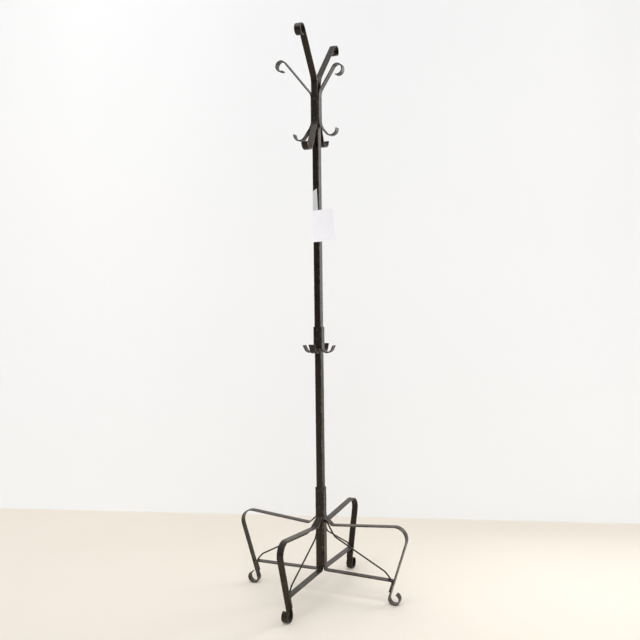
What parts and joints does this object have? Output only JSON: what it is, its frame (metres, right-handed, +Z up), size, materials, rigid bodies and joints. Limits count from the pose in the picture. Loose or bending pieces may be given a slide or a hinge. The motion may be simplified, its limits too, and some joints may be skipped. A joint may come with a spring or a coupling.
{
  "type": "coat stand",
  "caption": "Free-standing black iron coat stand: square post on scrolled, braced legs, with scrolled arms and hooks facing four ways and small hooks at mid height.",
  "frame": {"origin": "on the floor, under the axis of the square post", "axes": "+Z up along the post, +X along the right leg, -Y along the front leg, on whose side the tag hangs"},
  "size_m": [0.5866, 0.5866, 1.8005],
  "materials": {
    "black_iron": "satin",
    "dark_screw": "satin",
    "raw_steel": "satin",
    "black_plastic": "matte",
    "white_paper": "matte"
  },
  "bodies": {
    "root": {"arm_right": "black_iron", "middle_hook_right": "black_iron", "leg_right": "black_iron", "lower_bar_right": "black_iron", "brace_right": "black_iron", "arm_screw_right_upper": "dark_screw", "arm_screw_right_lower": "dark_screw", "middle_hook_screw_right_upper": "dark_screw", "middle_hook_screw_right_lower": "dark_screw", "leg_screw_right_upper": "dark_screw", "leg_screw_right_lower": "dark_screw", "arm_back": "black_iron", "middle_hook_back": "black_iron", "leg_back": "black_iron", "lower_bar_back": "black_iron", "brace_back": "black_iron", "arm_screw_back_upper": "dark_screw", "arm_screw_back_lower": "dark_screw", "middle_hook_screw_back_upper": "dark_screw", "middle_hook_screw_back_lower": "dark_screw", "leg_screw_back_upper": "dark_screw", "leg_screw_back_lower": "dark_screw", "arm_left": "black_iron", "middle_hook_left": "black_iron", "leg_left": "black_iron", "lower_bar_left": "black_iron", "brace_left": "black_iron", "arm_screw_left_upper": "dark_screw", "arm_screw_left_lower": "dark_screw", "middle_hook_screw_left_upper": "dark_screw", "middle_hook_screw_left_lower": "dark_screw", "leg_screw_left_upper": "dark_screw", "leg_screw_left_lower": "dark_screw", "arm_front": "black_iron", "middle_hook_front": "black_iron", "leg_front": "black_iron", "lower_bar_front": "black_iron", "brace_front": "black_iron", "arm_screw_front_upper": "dark_screw", "arm_screw_front_lower": "dark_screw", "middle_hook_screw_front_upper": "dark_screw", "middle_hook_screw_front_lower": "dark_screw", "leg_screw_front_upper": "dark_screw", "leg_screw_front_lower": "dark_screw", "post_lower": "black_iron", "post_upper": "black_iron", "post_spigot": "raw_steel", "post_top_cap": "black_plastic", "post_bottom_plug": "black_plastic", "paper_tag": "white_paper", "tag_strip": "white_paper"}
  },
  "joints": []
}
